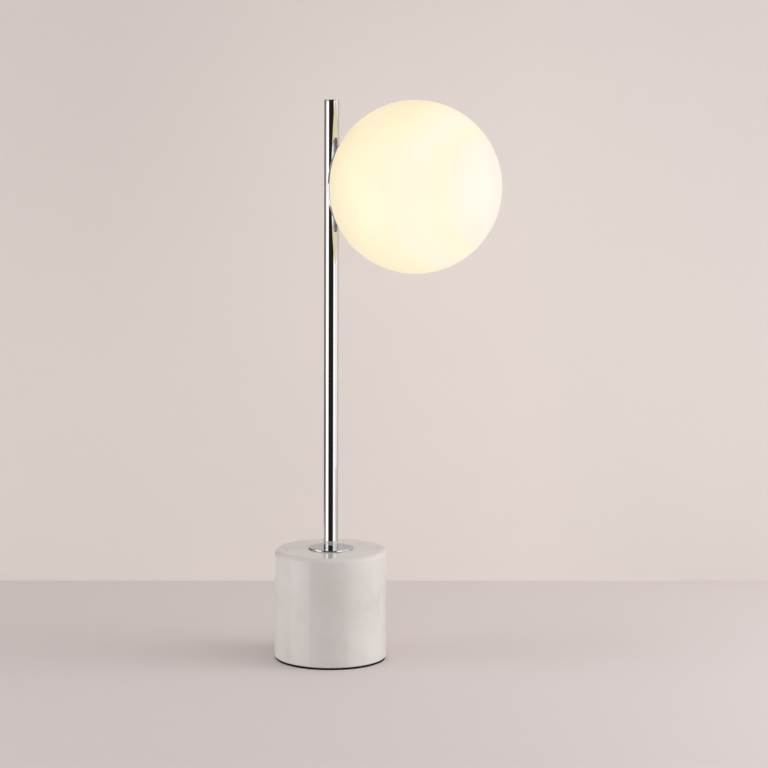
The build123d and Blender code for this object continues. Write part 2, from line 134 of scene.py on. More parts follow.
def softened(*corners, looped=True, steps=8):
    """An outline whose corners (along, radius, rounding) are arcs tangent to both their sides.

    Each arc's centre lies on its corner's bisector. Each straight side has a point close to each of its
    ends, which keeps the flats flat in the shading. Rounding 0 leaves a corner as a point, and an open
    outline leaves its ends.
    """
    arcs = []
    for k, (along, radius, rounding) in enumerate(corners):
        here = np.array([along, radius])
        if not rounding or (not looped and k in (0, len(corners) - 1)):
            arcs.append(here[None])
            continue
        before = np.array(corners[k - 1][:2]) - here
        after = np.array(corners[(k + 1) % len(corners)][:2]) - here
        before, after = before / np.linalg.norm(before), after / np.linalg.norm(after)
        half_angle = np.arccos(np.clip(before @ after, -1, 1)) / 2
        centre = here + (before + after) / np.linalg.norm(before + after) * rounding / np.sin(half_angle)
        start = here + before * rounding / np.tan(half_angle) - centre
        end = here + after * rounding / np.tan(half_angle) - centre
        sweep = pi - 2 * half_angle
        t = np.linspace(0, 1, steps + 1)[:, None] * sweep
        arcs.append(centre + (np.sin(sweep - t) * start + np.sin(t) * end) / np.sin(sweep))
    points = []
    for k, arc in enumerate(arcs):
        points.append(arc)
        if k == len(arcs) - 1 and not looped:
            break
        side = arcs[(k + 1) % len(arcs)][0] - arc[-1]
        step = side * min(MOST_OF_SIDE, SUPPORT / max(np.linalg.norm(side), TINY))
        points.append(np.array([arc[-1] + step, arcs[(k + 1) % len(arcs)][0] - step]))
    return np.vstack(points)


def turned(name, outline, about="pole", looped=True, steps=192, reshape=None):
    """A turned piece: an outline of (along, radius) points carried round the pole's axis or the arm's.

    About the pole a point is (radius cos t, radius sin t, along), and about the arm it is
    (along, radius cos t, arm height + radius sin t), for even angles t. reshape(along, radius, t) may
    shift the points first, for what isn't round: a thread, flats, flutes, or a root that follows a pole.
    """
    t = np.linspace(0, 2 * pi, steps, endpoint=False)
    along = np.repeat(outline[:, 0, None], steps, 1)
    radius = np.repeat(outline[:, 1, None], steps, 1)
    angle = np.repeat(t[None], len(outline), 0)
    if reshape:
        along, radius = reshape(along, radius, angle)
    across, upward = radius * np.cos(angle), radius * np.sin(angle)
    order = [across, upward, along] if about == "pole" else [along, across, upward + arm_height]
    return skin(name, np.stack(order, 2), looped)


def arc(centre, radius, start, end, count):
    """Points (centre + radius cos t, radius sin t) for even angles t."""
    t = np.linspace(start, end, count)
    return np.stack([centre + radius * np.cos(t), radius * np.sin(t)], 1)


def ladder(start, end, count):
    """Even points along a straight side of an outline, from one (along, radius) to another."""
    t = np.linspace(0, 1, count)[:, None]
    return np.array(start) * (1 - t) + np.array(end) * t


def screw_ridge(along, angle, start, end, pitch):
    """The height of a screw thread from 0 to 1: a rounded ridge once a pitch.

    The ridge is the wave (1 + cos) / 2 of along / pitch - angle / one turn. It fades by a smooth step
    over a third of a pitch at each end.
    """
    wave = 0.5 + 0.5 * np.cos(2 * pi * (along - start) / pitch - angle)
    into = np.clip(np.minimum(along - start, end - along) / (pitch / 3), 0, 1)
    return wave * into * into * (3 - 2 * into)


def bored(piece, start, end, radius):
    """Cuts a round hole through a piece, from start to end, for good."""
    hub = radius / 9
    rod = softened((0, hub, 0), (0, radius, 0), (1, radius, 0), (1, hub, 0), looped=False)
    cutter = turned("cutter", rod, looped=False, steps=96)
    way = Vector(end) - Vector(start)
    turn = way.to_track_quat("Z", "Y").to_matrix().to_4x4()
    cutter.data.transform(Matrix.Translation(start) @ turn @ Matrix.Diagonal((1, 1, way.length, 1)))
    hole = piece.modifiers.new("hole", "BOOLEAN")
    hole.object = cutter
    hole.solver = "EXACT"
    whole = piece.data
    evaluated = piece.evaluated_get(bpy.context.evaluated_depsgraph_get())
    piece.data = bpy.data.meshes.new_from_object(evaluated)
    piece.data.name = piece.name
    piece.data.set_sharp_from_angle(angle=CREASE)
    piece.modifiers.clear()
    bpy.data.meshes.remove(whole)
    bpy.data.objects.remove(cutter)


# --- Finishes ---

EVEN_GRAIN = (900.0, 900.0, 900.0)
BRUSHED = (200.0, 200.0, 9000.0)


def fill(finish, socket, value):
    """Fills a socket from another socket or with a plain value."""
    if isinstance(value, bpy.types.NodeSocket):
        finish.node_tree.links.new(value, socket)
    else:
        socket.default_value = value


def feed(finish, node, *values):
    """Fills a node's sockets in turn."""
    for socket, value in zip(node.inputs, values):
        fill(finish, socket, value)


def feed_named(finish, node, values):
    """Fills a node's sockets by their names."""
    for name, value in values.items():
        fill(finish, node.inputs[name], value)


def shader_of(finish):
    """The shader of a finish."""
    return finish.node_tree.nodes["Principled BSDF"]


def look(finish, values):
    """Fills the sockets of a finish's shader by their names."""
    feed_named(finish, shader_of(finish), values)


def new_finish(name, base, roughness, metallic=0.0):
    """A finish with plain values on its shader, and the piece's own coordinates for its patterns."""
    finish = bpy.data.materials.new(name)
    finish.use_nodes = True
    look(finish, {"Base Color": (*base, 1), "Roughness": roughness, "Metallic": metallic})
    return finish, finish.node_tree.nodes.new("ShaderNodeTexCoord").outputs["Object"]


def sum_of(finish, operation, *values):
    """One step of arithmetic."""
    node = finish.node_tree.nodes.new("ShaderNodeMath")
    node.operation = operation
    feed(finish, node, *values)
    return node.outputs[0]


def vector_of(finish, operation, *values, output=0):
    """One step of arithmetic on vectors. Output 1 is a plain number."""
    node = finish.node_tree.nodes.new("ShaderNodeVectorMath")
    node.operation = operation
    feed(finish, node, *values)
    return node.outputs[output]


def dot(finish, first, second):
    """The dot product of two vectors."""
    return vector_of(finish, "DOT_PRODUCT", first, second, output=1)


def cloud(finish, place, scale, detail=4.0, rough=0.5, output="Fac"):
    """Cloudy noise with scale lumps in a metre."""
    node = finish.node_tree.nodes.new("ShaderNodeTexNoise")
    feed_named(finish, node, {"Vector": place, "Scale": scale, "Detail": detail, "Roughness": rough})
    return node.outputs[output]


def mapped(finish, value, from_low, from_high, to_low, to_high):
    """A value taken evenly from one range to another, and held at its ends."""
    node = finish.node_tree.nodes.new("ShaderNodeMapRange")
    feed(finish, node, value, from_low, from_high, to_low, to_high)
    return node.outputs["Result"]


def from_noise(finish, noise, to_low, to_high):
    """Noise, most of which lies between 0.3 and 0.7, taken to another range."""
    return mapped(finish, noise, 0.3, 0.7, to_low, to_high)


def squared(finish, value):
    """A value times itself."""
    return sum_of(finish, "MULTIPLY", value, value)


def tones(finish, value, *stops, blend="LINEAR"):
    """A colour read from a value by stops of (position, colour)."""
    node = finish.node_tree.nodes.new("ShaderNodeValToRGB")
    node.color_ramp.interpolation = blend
    elements = node.color_ramp.elements
    while len(elements) < len(stops):
        elements.new(0.5)
    for element, (position, colour) in zip(elements, stops):
        element.position = position
        element.color = (*colour, 1)
    feed(finish, node, value)
    return node.outputs["Color"]


def raised(finish, value, depth):
    """Relief of a depth in metres."""
    node = finish.node_tree.nodes.new("ShaderNodeBump")
    feed_named(finish, node, {"Height": value, "Distance": depth})
    look(finish, {"Normal": node.outputs["Normal"]})


def drifting(name, base, second, roughness, metallic, scale, grain=EVEN_GRAIN, depth=0.01 * MM):
    """A finish whose colour and gloss drift softly between two tones, with fine grain in relief.

    The drift has scale lumps in a metre, and the grain its own number along each axis. The roughness
    follows 0.6 of the drift and 0.4 of the grain, by a quarter either way.
    """
    finish, place = new_finish(name, base, roughness, metallic)
    drift = cloud(finish, place, scale)
    fine = cloud(finish, vector_of(finish, "MULTIPLY", place, grain), 1.0, detail=6.0)
    colours = tones(finish, drift, (0.3, base), (0.7, second))
    broad = sum_of(finish, "MULTIPLY", drift, 0.6)
    narrow = sum_of(finish, "MULTIPLY", fine, 0.4)
    mixed = sum_of(finish, "ADD", broad, narrow)
    uneven = from_noise(finish, mixed, roughness * 0.75, roughness * 1.25)
    look(finish, {"Base Color": colours, "Roughness": uneven})
    raised(finish, fine, depth)
    return finish


def polished_chrome():
    """Chrome plate, bright and almost even, which darkens a little towards a grazing view."""
    bright, dim = (0.71, 0.71, 0.715), (0.68, 0.68, 0.685)
    finish = drifting("polished_chrome", bright, dim, 0.03, 1.0, 25.0, depth=0.0001 * MM)
    look(finish, {"Specular Tint": (0.76, 0.805, 0.825, 1)})
    return finish


def black_rubber():
    """Matt black rubber, finely grained, with little sheen."""
    black, dusty = (0.004, 0.0034, 0.003), (0.008, 0.007, 0.0064)
    finish = drifting("black_rubber", black, dusty, 0.9, 0.0, 150.0, depth=0.03 * MM)
    look(finish, {"Specular IOR Level": 0.05})
    return finish


def polished_marble():
    """White marble: soft warm-grey clouds, a few faint bent veins, tiny crystals, and a clear polish.

    The veins are where a slanted sine, bent by coarse noise, passes through zero: (1 - |sin|) to a high
    power. Other noise breaks them up.
    """
    bend, slanted, vein_rate, vein_power, vein_depth = 0.07, (0.35, 0.6, 0.72), 58.0, 5.0, 0.22
    finish, place = new_finish("polished_marble", (0.66, 0.63, 0.61), 0.34)
    swirl = vector_of(finish, "SUBTRACT", cloud(finish, place, 11.0, output="Color"), (0.5, 0.5, 0.5))
    bent = vector_of(finish, "ADD", place, vector_of(finish, "MULTIPLY", swirl, (bend, bend, bend)))
    wave = sum_of(finish, "MULTIPLY", dot(finish, bent, slanted), vein_rate)
    wave = sum_of(finish, "SINE", wave)
    wave = sum_of(finish, "ABSOLUTE", wave)
    vein = sum_of(finish, "POWER", sum_of(finish, "SUBTRACT", 1.0, wave), vein_power)
    broken = mapped(finish, cloud(finish, place, 19.0), 0.42, 0.68, 0.0, 1.0)
    vein = sum_of(finish, "MULTIPLY", sum_of(finish, "MULTIPLY", vein, broken), vein_depth)
    body = cloud(finish, bent, 24.0, detail=5.0, rough=0.55)
    crystal = from_noise(finish, cloud(finish, place, 900.0, detail=2.0), -0.03, 0.03)
    shade = sum_of(finish, "SUBTRACT", sum_of(finish, "ADD", body, crystal), vein)
    colours = tones(
        finish,
        shade,
        (0.20, (0.536, 0.509, 0.485)),
        (0.38, (0.62, 0.588, 0.561)),
        (0.55, (0.643, 0.614, 0.589)),
        (0.75, (0.66, 0.637, 0.614)),
    )
    look(finish, {"Base Color": colours, "Roughness": from_noise(finish, body, 0.42, 0.34)})
    look(finish, {"Specular IOR Level": 0.2, "Coat Weight": 1.0, "Coat Roughness": 0.02, "Coat IOR": 1.3})
    raised(finish, cloud(finish, place, 500.0, detail=3.0), 0.01 * MM)
    return finish


BULB_CENTRE = (bulb_centre, 0.0, arm_height)
GLOBE_CENTRE = (globe_centre, 0.0, arm_height)


def lit_opal_glass():
    """Opal glass lit from inside by the bulb, with soft smoke drifting through it.

    The light that reaches a point of the shell is cos(angle) x (shell radius / distance from the bulb)
    squared. The level of the glow is that light, less painted shade that grows towards the top and
    towards the foot, which the bulb's light doesn't give. Low levels glow a warm yellow and the others a
    creamy white.
    """
    weakest, strongest = 0.4, 2.0
    top_start, top_painted_shade, foot_start, foot_painted_shade = 0.42, 0.2, -0.5, 0.1
    finish, place = new_finish("lit_opal_glass", (0.10, 0.098, 0.09), 0.45)
    from_bulb = vector_of(finish, "SUBTRACT", place, BULB_CENTRE)
    distance = vector_of(finish, "LENGTH", from_bulb, output=1)
    outward = vector_of(finish, "NORMALIZE", vector_of(finish, "SUBTRACT", place, GLOBE_CENTRE))
    angle = dot(finish, outward, vector_of(finish, "NORMALIZE", from_bulb))
    spread = sum_of(finish, "POWER", sum_of(finish, "DIVIDE", globe_radius, distance), 2.0)
    light = sum_of(finish, "MULTIPLY", spread, angle)
    smoke = from_noise(finish, cloud(finish, place, 28.0, detail=2.0), -0.02, 0.02)
    level = sum_of(finish, "ADD", mapped(finish, light, weakest, strongest, 0.0, 1.0), smoke)
    rise = dot(finish, outward, UP)
    # Painted shade: the glow is dimmed towards the top and towards the foot.
    level = sum_of(finish, "SUBTRACT", level, mapped(finish, rise, top_start, 1.0, 0.0, top_painted_shade))
    level = sum_of(finish, "SUBTRACT", level, mapped(finish, rise, foot_start, -1.0, 0.0, foot_painted_shade))
    glow = tones(
        finish,
        level,
        (0.15, (0.97, 0.825, 0.555)),
        (0.24, (0.97, 0.875, 0.585)),
        (0.34, (0.97, 0.885, 0.645)),
        (0.45, (0.97, 0.89, 0.72)),
        (0.56, (0.97, 0.89, 0.675)),
        (0.66, (0.97, 0.87, 0.625)),
        (0.78, (0.97, 0.84, 0.715)),
        blend="B_SPLINE",
    )
    look(finish, {"Emission Color": glow, "Emission Strength": 1.0, "Specular IOR Level": 0.0})
    look(finish, {"Coat Weight": 0.7, "Coat Roughness": 0.28, "Coat IOR": 1.45})
    look(finish, {"Roughness": mapped(finish, smoke, -0.02, 0.02, 0.4, 0.5)})
    raised(finish, cloud(finish, place, 60.0, detail=2.0), 0.02 * MM)
    return finish


def lit_frosted_plastic():
    """The bulb's frosted dome, brightest at its crown, with the fine grain of its frosting."""
    finish, place = new_finish("lit_frosted_plastic", (0.42, 0.41, 0.39), 0.5)
    along = dot(finish, place, (1.0, 0.0, 0.0))
    crown = mapped(finish, along, *ends("bulb_diffuser", ALONG_X), 0.0, 1.0)
    grain = from_noise(finish, cloud(finish, place, 300.0), -0.05, 0.05)
    level = sum_of(finish, "ADD", crown, grain)
    stops = [(0.0, (0.95, 0.82, 0.6)), (0.35, (1.0, 0.92, 0.76)), (1.0, (1.0, 0.96, 0.86))]
    look(finish, {"Emission Color": tones(finish, level, *stops), "Emission Strength": 1.0})
    raised(finish, grain, 0.03 * MM)
    return finish


FINISHES = {
    "marble": polished_marble(),
    "chrome": polished_chrome(),
    "opal_glass": lit_opal_glass(),
    "opal_plastic": lit_frosted_plastic(),
    "black_rubber": black_rubber(),
    "zinc_steel": drifting("zinc_plate", (0.6, 0.61, 0.63), (0.48, 0.5, 0.52), 0.32, 1.0, 400.0),
    "spring_steel": drifting(
        "spring_steel", (0.62, 0.62, 0.63), (0.52, 0.52, 0.54), 0.24, 1.0, 200.0, BRUSHED
    ),
    "brass": drifting("bare_brass", (0.8, 0.62, 0.3), (0.68, 0.5, 0.24), 0.25, 1.0, 300.0),
    "nickel": drifting("nickel_plate", (0.74, 0.71, 0.66), (0.64, 0.61, 0.56), 0.2, 1.0, 300.0),
    "white_plastic": drifting("white_plastic", (0.84, 0.83, 0.8), (0.79, 0.78, 0.75), 0.42, 0.0, 120.0),
    "ceramic": drifting(
        "white_ceramic", (0.86, 0.84, 0.8), (0.79, 0.77, 0.73), 0.55, 0.0, 180.0, depth=0.03 * MM
    ),
    "brown_wire": drifting("brown_sleeve", (0.2, 0.09, 0.045), (0.15, 0.068, 0.034), 0.4, 0.0, 200.0),
    "blue_wire": drifting("blue_sleeve", (0.03, 0.12, 0.45), (0.024, 0.09, 0.36), 0.4, 0.0, 200.0),
    "black_insulator": drifting(
        "black_insulator", (0.015, 0.015, 0.018), (0.03, 0.03, 0.034), 0.15, 0.0, 200.0
    ),
    "led_board": drifting("white_board", (0.86, 0.86, 0.84), (0.79, 0.8, 0.78), 0.35, 0.0, 150.0),
}
SLOT_OF = {part["node"]: part["material_slot"] for part in frame["record"]["subparts"]}
BODIES = frame["record"]["behaviour"]["bodies"]
BODY_OF = {node: body for body, nodes in BODIES.items() for node in nodes}

for node, item in frame["nodes"].items():
    item.data.materials.clear()
    item.data.materials.append(FINISHES[SLOT_OF[node]])


def dress(piece, node):
    """Puts a piece in the place of a CAD node, on its body and in its finish."""
    piece.data.materials.clear()
    piece.data.materials.append(FINISHES[SLOT_OF[node]])
    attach(piece, BODY_OF[node])
    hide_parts(node)


# --- Drum, pad, grommet and collar ---

HAIR = 0.1 * MM
ARRIS = 0.3 * MM
LAMP_THREAD = half("tie_rod", ALONG_X)
ROD_HOLE = LAMP_THREAD + 0.3 * MM
THREAD_HOLE = LAMP_THREAD + 0.05 * MM


def marble_drum():
    """The drum's half section with its recess and tie hole, turned, and bored for the cord."""
    top_edge, foot_chamfer, cord_hole = 5.0 * MM, 0.8 * MM, 5.0 * MM
    recess_radius, recess_depth, hole_radius = 24.5 * MM, 24.0 * MM, 5.5 * MM
    bottom, top = ends("marble_base", UPWARD)
    ceiling = bottom + recess_depth
    section = softened(
        (bottom, recess_radius, ARRIS),
        (bottom, drum_radius - foot_chamfer, ARRIS),
        (bottom + foot_chamfer, drum_radius, ARRIS),
        (top, drum_radius, top_edge),
        (top, hole_radius, ARRIS),
        (ceiling, hole_radius, ARRIS),
        (ceiling, recess_radius, ARRIS),
        steps=20,
    )
    drum = turned("marble_drum", section, steps=256)
    outlet = middle("cord_grommet", UPWARD)
    bored(drum, (0, 0, outlet), (-drum_radius * 1.2, 0, outlet), cord_hole)
    dress(drum, "marble_base")


def foot_pad():
    """The rubber pad's half section turned about the pole, with grip rings cut round its underside."""
    bottom, top = ends("foot_pad", UPWARD)
    radius, innermost, outermost, rings = half("foot_pad", ALONG_X), 0.3, 0.9, 5
    groove, depth = 1.2 * MM, 0.35 * MM
    corners = [(bottom, HUB, 0)]
    for ring in np.linspace(innermost, outermost, rings) * radius:
        corners += [
            (bottom, ring - groove, HAIR),
            (bottom + depth, ring - groove / 2, HAIR),
            (bottom + depth, ring + groove / 2, HAIR),
            (bottom, ring + groove, HAIR),
        ]
    corners += [(bottom, radius, 0.35 * MM), (top, radius, 0.15 * MM), (top, HUB, 0)]
    dress(turned("rubber_pad", softened(*corners, looped=False, steps=6), looped=False), "foot_pad")


def cord_grommet():
    """A flanged bush through the back of the drum, its flange curved to the drum's side.

    A point stands at -(drum surface + height). The drum surface is root(R squared - across squared) at
    the side and eases to the plain radius R over the first 4 mm of the hole.
    """
    flange, neck, bore = half("cord_grommet", ACROSS), 4.95 * MM, 3.5 * MM
    ease, clearance = 4 * MM, 0.02 * MM
    proud = -low("cord_grommet", ALONG_X) - drum_radius
    inner = -high("cord_grommet", ALONG_X) - drum_radius
    centre = middle("cord_grommet", UPWARD)
    section = softened(
        (0.0, flange, 0.25 * MM),
        (proud, flange, 0.6 * MM),
        (proud, bore, 0.7 * MM),
        (inner, bore, ARRIS),
        (inner, neck, ARRIS),
        (0.0, neck, HAIR),
    )
    t = np.linspace(0, 2 * pi, 96, endpoint=False)
    height, radius = section[:, 0, None], section[:, 1, None]
    across, upward = radius * np.cos(t), radius * np.sin(t)
    follow = np.clip(1 + height / ease, 0, 1)
    surface = drum_radius + (np.sqrt(drum_radius**2 - across**2) - drum_radius) * follow
    rows = np.stack([-(surface + height + clearance * follow), across, upward + centre], 2)
    rows[..., 0] = np.maximum(rows[..., 0], low("cord_grommet", ALONG_X))
    dress(skin("rubber_grommet", rows, True), "cord_grommet")


def collar():
    """The chrome disc between drum and pole, its rim leaning in upwards and undercut at the foot."""
    bottom, top = ends("collar_flange", UPWARD)
    radius, lean, undercut, foot = half("collar_flange", ALONG_X), 0.29 * MM, 0.5 * MM, 0.3 * MM
    section = softened(
        (bottom, radius - undercut, 0.1 * MM),
        (bottom + foot, radius, 0.08 * MM),
        (top, radius - lean, 0.12 * MM),
        (top, ROD_HOLE, HAIR),
        (bottom, ROD_HOLE, HAIR),
    )
    dress(turned("chrome_collar", section), "collar_flange")


marble_drum()
foot_pad()
cord_grommet()
collar()

# --- Pole, its cap and the arm stub ---

pole_bore = half("pole_foot_insert", ALONG_X)
cap_seat = high("pole_tube", UPWARD)
STUB_BORE = 4.0 * MM


def pole():
    """The pole's tube turned about its axis, and bored at the side where the arm's wires pass in."""
    foot = low("pole_tube", UPWARD)
    section = softened(
        (foot, pole_radius, HAIR),
        (cap_seat, pole_radius, 0.05 * MM),
        (cap_seat, pole_bore, HAIR),
        (foot, pole_bore, HAIR),
    )
    tube = turned("chrome_pole", section)
    bored(tube, (0, 0, arm_height), (2 * pole_radius, 0, arm_height), STUB_BORE)
    dress(tube, "pole_tube")


def pole_cap():
    """The cap's plug and head, turned in one, with a steep fine bevel round the head."""
    plug, top = ends("pole_top_cap", UPWARD)
    bevel_height, bevel_width = 0.8 * MM, 0.13 * MM
    section = softened(
        (plug, HUB, 0),
        (plug, pole_bore, ARRIS),
        (cap_seat, pole_bore, 0),
        (cap_seat, pole_radius, 0.05 * MM),
        (top - bevel_height, pole_radius, 0.1 * MM),
        (top, pole_radius - bevel_width, 0.05 * MM),
        (top, HUB, 0),
        looped=False,
    )
    dress(turned("chrome_cap", section, looped=False), "pole_top_cap")


def arm_stub():
    """A short tube whose root follows the pole and flares a little, as brazed.

    The root's points move back by the pole's drop there, radius - root(radius squared - across squared),
    and the shift eases out along the stub.
    """
    outer, root, end = half("arm_stub", UPWARD), pole_radius, low("globe_back_plate", ALONG_X)
    thread_start, eased = low("holder_nipple", ALONG_X), 12 * MM
    flare = [(root, outer + 0.35 * MM), (root + 0.25 * MM, outer + 0.12 * MM)]
    section = np.vstack(
        [
            flare,
            ladder((root + 0.7 * MM, outer), (end - 0.5 * MM, outer), 12),
            ladder((end - 0.1 * MM, outer), (end, outer - 0.1 * MM), 2),
            ladder((end, THREAD_HOLE + 0.2 * MM), (end - 0.2 * MM, THREAD_HOLE), 2),
            ladder((end - 0.4 * MM, THREAD_HOLE), (thread_start, THREAD_HOLE), 6),
            ladder((thread_start, STUB_BORE), (root, STUB_BORE), 8),
        ]
    )

    def follow(along, radius, angle):
        drop = pole_radius - np.sqrt(np.maximum(pole_radius**2 - (radius * np.cos(angle)) ** 2, 0))
        ease = np.clip((eased - along) / (eased - root), 0, 1)
        return along - drop * ease, radius

    dress(turned("chrome_stub", section, about="arm", reshape=follow), "arm_stub")


pole()
pole_cap()
arm_stub()

# --- Back plate, gasket, clips and their rivets ---

CLIP_ANGLES = {1: 90.0, 2: 210.0, 3: 330.0}
plate_back, plate_front = ends("globe_back_plate", ALONG_X)
rivet_radius = middle("spring_rivet_1", UPWARD) - arm_height
RIVET_SHANK = 1.5 * MM
RIVET_HOLE = RIVET_SHANK + 0.05 * MM
CLIP_THICK = 0.6 * MM
GLASS_WALL = 2.5 * MM
mouth_inner = sqrt((globe_radius - GLASS_WALL) ** 2 - (globe_centre - glass_edge) ** 2)


def from_arm(angle):
    """How far across and up from the arm a rivet stands, at an angle in degrees round it."""
    return rivet_radius * cos(radians(angle)), rivet_radius * sin(radians(angle))


def rivet_hole(piece, angle, start, end):
    """Bores a rivet's hole through a piece, between two places along the arm."""
    across, up = from_arm(angle)
    spot = (across, arm_height + up)
    bored(piece, (start, *spot), (end, *spot), RIVET_HOLE)


def back_plate():
    """The chrome plate, its rear edge rounded, drilled for its three rivets."""
    radius = half("globe_back_plate", UPWARD)
    section = softened(
        (plate_back, ROD_HOLE, HAIR),
        (plate_back, radius, 1.2 * MM),
        (plate_front, radius, 0.2 * MM),
        (plate_front, ROD_HOLE, HAIR),
        steps=12,
    )
    plate = turned("chrome_plate", section, about="arm", steps=256)
    for angle in CLIP_ANGLES.values():
        rivet_hole(plate, angle, plate_back - MM, plate_front + MM)
    dress(plate, "globe_back_plate")


def gasket():
    """The soft rubber ring under the glass, all its edges rounded."""
    back, front = ends("plate_gasket", ALONG_X)
    outer = half("plate_gasket", UPWARD)
    section = softened(
        (back, mouth_inner, ARRIS),
        (back, outer, ARRIS),
        (front, outer, ARRIS),
        (front, mouth_inner, ARRIS),
    )
    dress(turned("rubber_gasket", section, about="arm"), "plate_gasket")


def clip(number, angle):
    """A spring strip bent over the neck of the glass.

    Its rounded rectangle is carried along a path of runs and arcs in the plane through the arm's axis,
    square to the path at each point. The path's corners are arcs tangent to both runs.
    """
    width, thick, bend, clearance = 6.0 * MM, CLIP_THICK, 1.2 * MM, 0.3 * MM
    foot_run, past_edge, rise, tail_along, tail_in = 9.0 * MM, 3.6, 2.4, 5.0 * MM, 5.5 * MM
    foot_along = plate_front + thick / 2
    crown_along = glass_edge + past_edge * MM
    slope = rise / past_edge
    neck = sqrt((mouth_inner - clearance) ** 2 - (width / 2) ** 2) - thick / 2 * sqrt(1 + slope**2)
    bend_out = neck - slope * (glass_edge - foot_along)
    crown = neck + rise * MM
    path = softened(
        (foot_along, bend_out - foot_run, 0),
        (foot_along, bend_out, bend),
        (crown_along, crown, bend),
        (crown_along + tail_along, crown - tail_in, 0),
        looped=False,
        steps=10,
    )
    heading = np.gradient(path, axis=0)
    heading /= np.linalg.norm(heading, axis=1, keepdims=True)
    square = np.stack([-heading[:, 1], heading[:, 0]], 1)
    edge = 0.2 * MM
    section = softened(
        (-thick / 2, -width / 2, edge),
        (thick / 2, -width / 2, edge),
        (thick / 2, width / 2, edge),
        (-thick / 2, width / 2, edge),
        steps=5,
    )
    plane = path[:, None] + square[:, None] * section[None, :, 0, None]
    side = np.repeat(section[None, :, 1], len(path), 0)
    out, turn = plane[..., 1], radians(angle)
    across = out * cos(turn) - side * sin(turn)
    upward = out * sin(turn) + side * cos(turn) + arm_height
    strip = skin(f"spring_clip_{number}", np.stack([plane[..., 0], across, upward], 2), False)
    rivet_hole(strip, angle, plate_front - MM, plate_front + 2 * MM)
    dress(strip, f"globe_spring_{number}")


def rivet(number, angle):
    """A round-headed rivet turned about its own axis, which runs along the arm at the clip's foot."""
    node = f"spring_rivet_{number}"
    back, crown = ends(node, ALONG_X)
    seat, head = plate_front + CLIP_THICK, half(node, UPWARD)
    section = softened(
        (back, 0.2 * MM, 0),
        (back, RIVET_SHANK, 0.15 * MM),
        (seat, RIVET_SHANK, 0),
        (seat, head, HAIR),
        (crown, head, 0.85 * MM),
        (crown, 0.2 * MM, 0),
        looped=False,
    )
    piece = turned(f"clip_rivet_{number}", section, about="arm", looped=False, steps=64)
    piece.data.transform(Matrix.Translation((0, *from_arm(angle))))
    dress(piece, node)


back_plate()
gasket()
for clip_number, clip_angle in CLIP_ANGLES.items():
    clip(clip_number, clip_angle)
    rivet(clip_number, clip_angle)

# --- Globe ---


def bezier(start, corner, end, t):
    """Points (1 - t) squared x start + 2 t (1 - t) x corner + t squared x end."""
    return (1 - t) ** 2 * start + 2 * t * (1 - t) * corner + t**2 * end


def globe():
    """A hollow ball cut square at its mouth, with a ground edge.

    Its outer and inner walls are arcs about the ball's centre. The two arrises of the mouth are Bezier
    curves of three points: the arc's end, the sharp corner and the edge's start.
    """
    ground, front_hub = 0.5 * MM, 0.4 * MM
    reach = globe_centre - glass_edge
    walls, corners = [], []
    for radius, count in ((globe_radius, 120), (globe_radius - GLASS_WALL, 80)):
        mouth = pi - np.arccos(reach / radius)
        walls.append(arc(globe_centre, radius, front_hub / radius, mouth - ground / radius, count))
        corners.append(np.array([glass_edge, radius * np.sin(mouth)]))
    outer, inner = walls
    lip_out, lip_in = corners[0] - (0, ground), corners[1] + (0, ground)
    t = np.linspace(0, 1, 7)[1:, None]
    rounding_out = bezier(outer[-1], corners[0], lip_out, t)
    rounding_in = bezier(inner[-1], corners[1], lip_in, t[::-1])
    section = np.vstack([outer, rounding_out, rounding_in, inner[::-1]])
    dress(turned("opal_globe", section, about="arm", looped=False), "glass_globe")


globe()

# --- Nipple, its locknut and the lamp holder ---

THREAD_PITCH = 1.0 * MM
THREAD_DEPTH = 0.5 * MM


def nipple():
    """A hollow rod with a fine screw thread along all its outside."""
    start, end = ends("holder_nipple", ALONG_X)
    bore, bevel = 3.5 * MM, 0.2 * MM
    root = half("holder_nipple", UPWARD) - THREAD_DEPTH
    section = np.vstack(
        [
            ladder((start + bevel, root), (end - bevel, root), 150),
            ladder((end, root - bevel), (end, bore + bevel), 3),
            ladder((end - bevel, bore), (start + bevel, bore), 6),
            ladder((start, bore + bevel), (start, root - bevel), 3),
        ]
    )

    def cut(along, radius, angle):
        ridge = screw_ridge(along, angle, start + bevel, end - bevel, THREAD_PITCH)
        return along, radius + np.where(radius > root - HAIR, THREAD_DEPTH * ridge, 0)

    dress(turned("threaded_nipple", section, about="arm", steps=64, reshape=cut), "holder_nipple")


def locknut():
    """A hexagon nut, its corners bevelled by a cone at both ends.

    Its radius at angle t is apothem / cos(t from the nearest flat's middle), held below the cone's.
    """
    start, end = ends("nipple_locknut", ALONG_X)
    apothem, bore, rise, bevel = 7.0 * MM, THREAD_HOLE, 1.0 * MM, 0.4 * MM
    cone_foot, cone_slope = 1.015, 1.7
    section = np.vstack(
        [
            ladder((start, apothem), (start + rise, apothem), 7),
            ladder((end - rise, apothem), (end, apothem), 7),
            ladder((end, bore + bevel), (end - bevel, bore), 2),
            ladder((start + bevel, bore), (start, bore + bevel), 2),
        ]
    )

    def flats(along, radius, angle):
        from_flat = np.mod(angle, pi / 3) - pi / 6
        hexagon = apothem / np.cos(from_flat)
        cone = apothem * cone_foot + cone_slope * np.minimum(along - start, end - along)
        return along, np.where(radius > apothem - HAIR, np.minimum(hexagon, cone), radius)

    dress(turned("hexagon_locknut", section, about="arm", steps=120, reshape=flats), "nipple_locknut")


holder_radius = half("holder_dome", UPWARD)
HOLDER_WALL = 1.6 * MM


